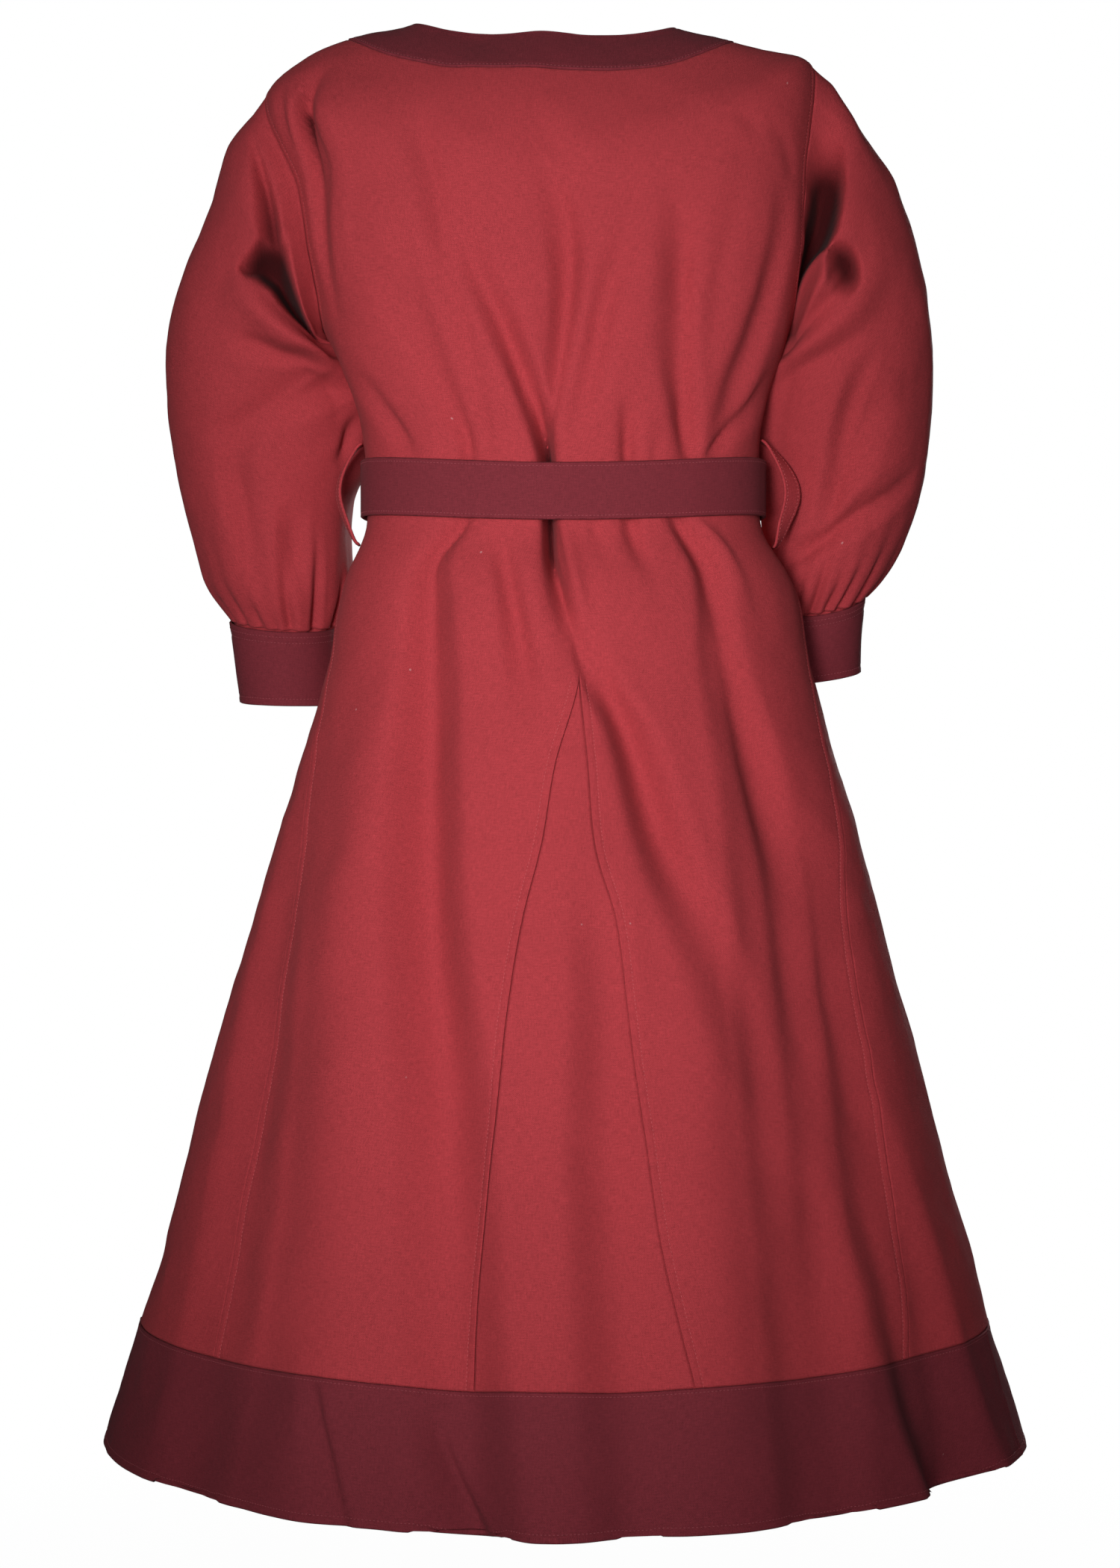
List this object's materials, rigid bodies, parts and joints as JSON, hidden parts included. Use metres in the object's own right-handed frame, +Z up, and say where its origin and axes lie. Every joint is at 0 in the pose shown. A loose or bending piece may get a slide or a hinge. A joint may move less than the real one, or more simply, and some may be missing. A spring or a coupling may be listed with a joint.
{
  "type": "viking dress",
  "caption": "Long-sleeved flared cotton dress with wide bound neck, gathered sleeves in deep cuffs, gored skirt with contrasting hem band, and a plain fabric belt in loops; worn form, empty.",
  "frame": {"origin": "middle of the neck opening at shoulder height, where the wearer's neck and shoulders hold the dress", "axes": "+Z up along the body, the front faces -Y, the back faces +Y, +X is the wearer's left"},
  "size_m": [0.577, 0.4922, 0.8937],
  "materials": {
    "red_cotton": "matt plain-weave cotton canvas, brick red",
    "wine_cotton": "matt plain-weave cotton canvas, dark wine red"
  },
  "bodies": {
    "root": {"back_panel": "red_cotton", "front_panel": "red_cotton", "gore_back": "red_cotton", "side_gore_left": "red_cotton", "side_gore_right": "red_cotton", "sleeve_left": "red_cotton", "sleeve_right": "red_cotton", "belt_loop_left": "red_cotton", "belt_loop_right": "red_cotton", "cuff_left": "wine_cotton", "cuff_right": "wine_cotton", "neck_band_back": "wine_cotton", "neck_band_front": "wine_cotton", "hem_band_back": "wine_cotton", "hem_band_front": "wine_cotton", "belt": "wine_cotton"}
  },
  "joints": []
}
